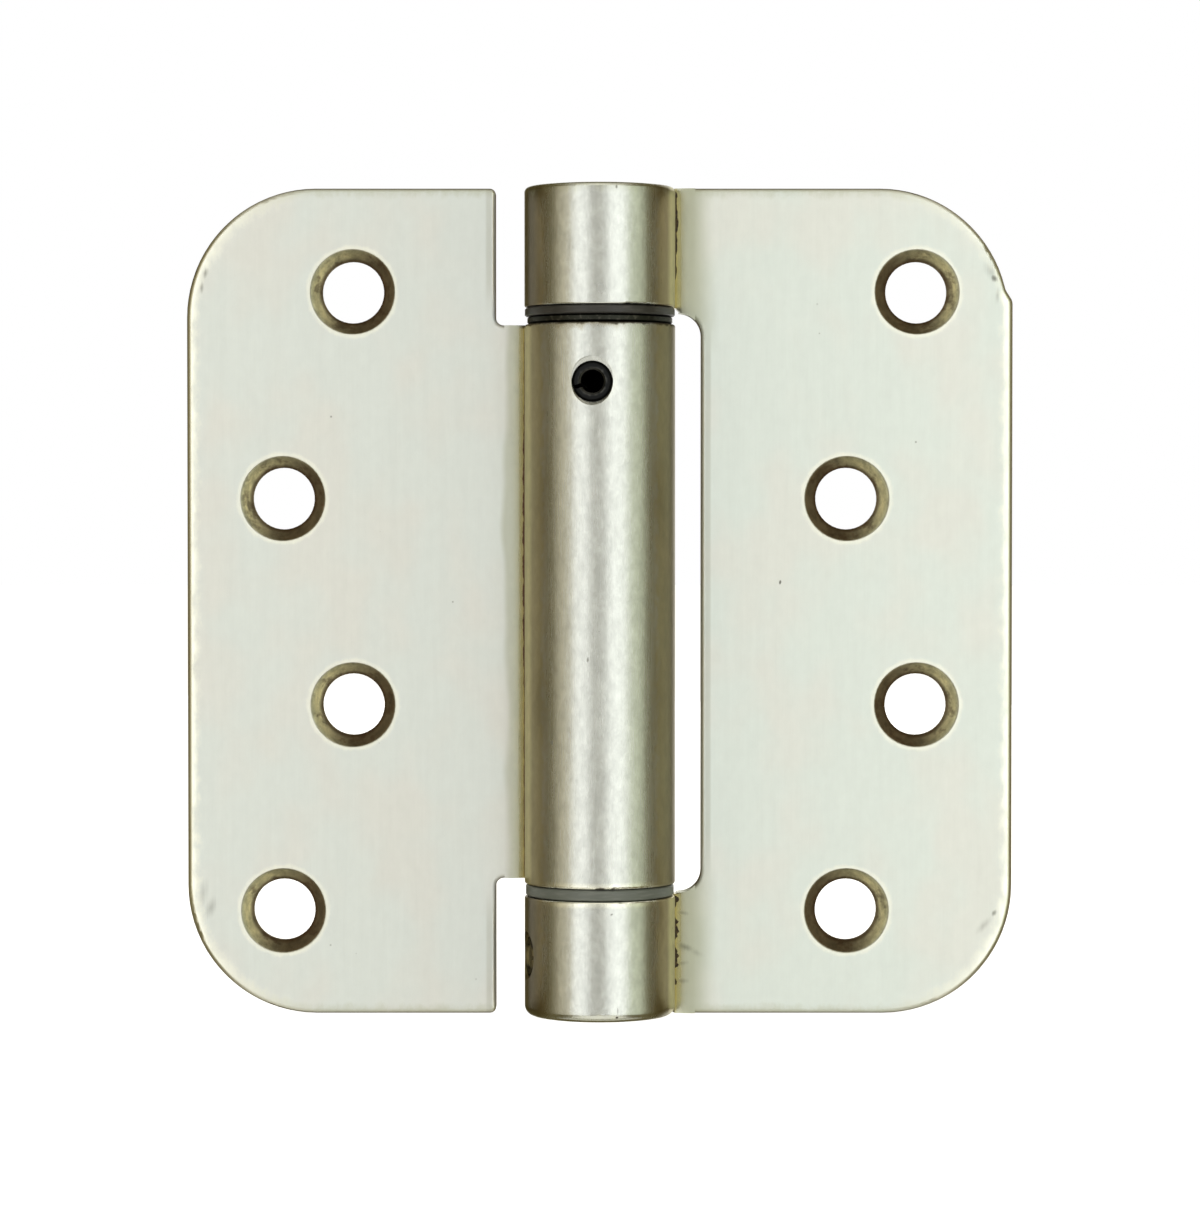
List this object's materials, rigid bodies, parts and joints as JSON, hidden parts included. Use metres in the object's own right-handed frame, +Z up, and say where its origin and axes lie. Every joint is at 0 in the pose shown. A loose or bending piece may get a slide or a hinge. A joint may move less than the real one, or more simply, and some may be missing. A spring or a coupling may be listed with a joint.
{
  "type": "spring loaded door hinge",
  "caption": "Self-closing butt hinge of rolled steel: two round-cornered leaves with staggered countersunk screw holes on a sprung barrel, laid open flat.",
  "frame": {"origin": "on the pin axis, half way up the hinge", "axes": "+Z up along the pin axis, +X from the pin towards the forked leaf, -Y out of the countersunk screw faces of the open hinge"},
  "size_m": [0.1016, 0.0184, 0.1016],
  "materials": {
    "satin_nickel_steel": "satin nickel plate, brushed along the pin axis",
    "turned_steel": "turned, zinc plated",
    "black_oxide_steel": "black oxide, oiled",
    "black_nylon": "moulded nylon, matte",
    "grey_acetal": "moulded acetal, satin",
    "spring_steel": "oil-tempered square wire"
  },
  "bodies": {
    "barrel_side": {"barrel_leaf": "satin_nickel_steel", "anchor_plug": "turned_steel", "anchor_pin": "black_oxide_steel", "steel_thrust_washer": "black_oxide_steel", "nylon_thrust_washer": "black_nylon", "torsion_spring": "spring_steel"},
    "fork_side": {"forked_leaf": "satin_nickel_steel", "winding_plug": "turned_steel", "winding_pin": "black_oxide_steel", "grey_thrust_washer": "grey_acetal"}
  },
  "joints": [
    {"name": "leaf_swing", "type": "hinge", "parent": "barrel_side", "child": "fork_side", "pos_m": [0, 0, 0], "axis": [0, 0, 1], "range_deg": [-180, 0], "stiffness_Nm_per_rad": 1.13, "springref_deg": -209.99, "deforming": ["torsion_spring"]}
  ]
}
